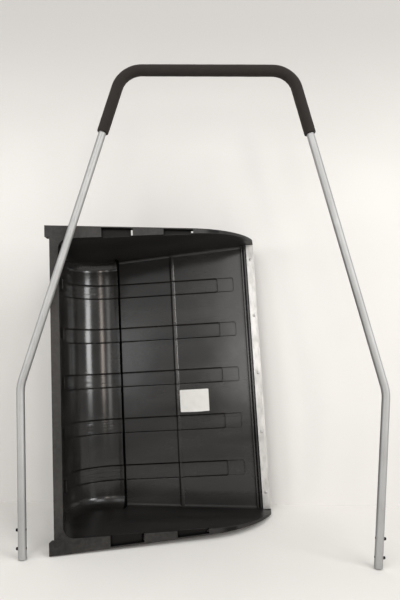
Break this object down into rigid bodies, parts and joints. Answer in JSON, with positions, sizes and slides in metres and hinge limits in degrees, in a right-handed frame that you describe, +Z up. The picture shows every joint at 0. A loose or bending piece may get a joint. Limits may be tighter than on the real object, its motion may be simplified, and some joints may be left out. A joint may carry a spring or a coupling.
{
  "type": "snow sled scoop",
  "caption": "Moulded black snow sled tub with a wear strip, stood on its side beside its loose aluminium U handle with a foam grip.",
  "frame": {"origin": "on the floor, under the middle of the whole group", "axes": "+Z up; +X to the right, the way the tub's cutting edge points; +Y away from the open side of the tub"},
  "size_m": [0.8648, 0.456, 1.1819],
  "materials": {
    "tub_plastic": "semi-gloss moulded",
    "strip_aluminium": "mill",
    "rivet_aluminium": "plain",
    "label_film": "matte",
    "tube_aluminium": "satin anodised",
    "grip_foam": "matte foam",
    "bolt_steel": "black"
  },
  "bodies": {
    "root": {"scoop_tub": "tub_plastic", "wear_strip": "strip_aluminium", "label": "label_film", "rivet_1": "rivet_aluminium", "rivet_2": "rivet_aluminium", "rivet_3": "rivet_aluminium", "rivet_4": "rivet_aluminium", "rivet_5": "rivet_aluminium", "handle_tube": "tube_aluminium", "foam_grip": "grip_foam", "bolt_left_1": "bolt_steel", "bolt_left_2": "bolt_steel", "bolt_right_1": "bolt_steel", "bolt_right_2": "bolt_steel"}
  },
  "joints": []
}
